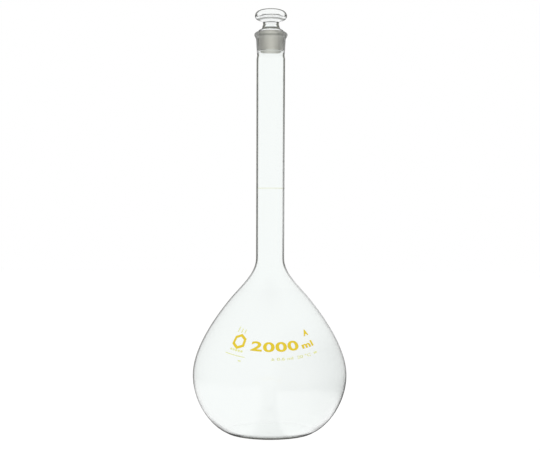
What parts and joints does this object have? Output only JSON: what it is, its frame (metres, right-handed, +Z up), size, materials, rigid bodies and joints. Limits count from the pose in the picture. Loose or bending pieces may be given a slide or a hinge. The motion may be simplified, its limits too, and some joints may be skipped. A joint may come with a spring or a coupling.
{
  "type": "volumetric flask",
  "caption": "Pear-shaped flat-bottomed glass flask with a long narrow neck, a graduation ring and a ground glass stopper that lifts out.",
  "frame": {"origin": "middle of the flat base, on the surface that the flask stands on", "axes": "+Z up along the flask's axis, the printed capacity mark faces -Y, +X to its right"},
  "size_m": [0.1586, 0.1586, 0.4375],
  "materials": {
    "clear_glass": "clear borosilicate glass, fire polished",
    "ground_glass": "fine ground, frosted",
    "yellow_enamel": "fired enamel, satin"
  },
  "bodies": {
    "flask": {"bulb": "clear_glass", "neck_tube": "clear_glass", "ground_socket": "ground_glass", "graduation_ring": "yellow_enamel"},
    "stopper": {"stopper_plug": "ground_glass", "stopper_head": "clear_glass"}
  },
  "joints": [
    {"name": "stopper_lift", "type": "slide", "parent": "flask", "child": "stopper", "axis": [0, 0, 1], "range_m": [0, 0.03]}
  ]
}
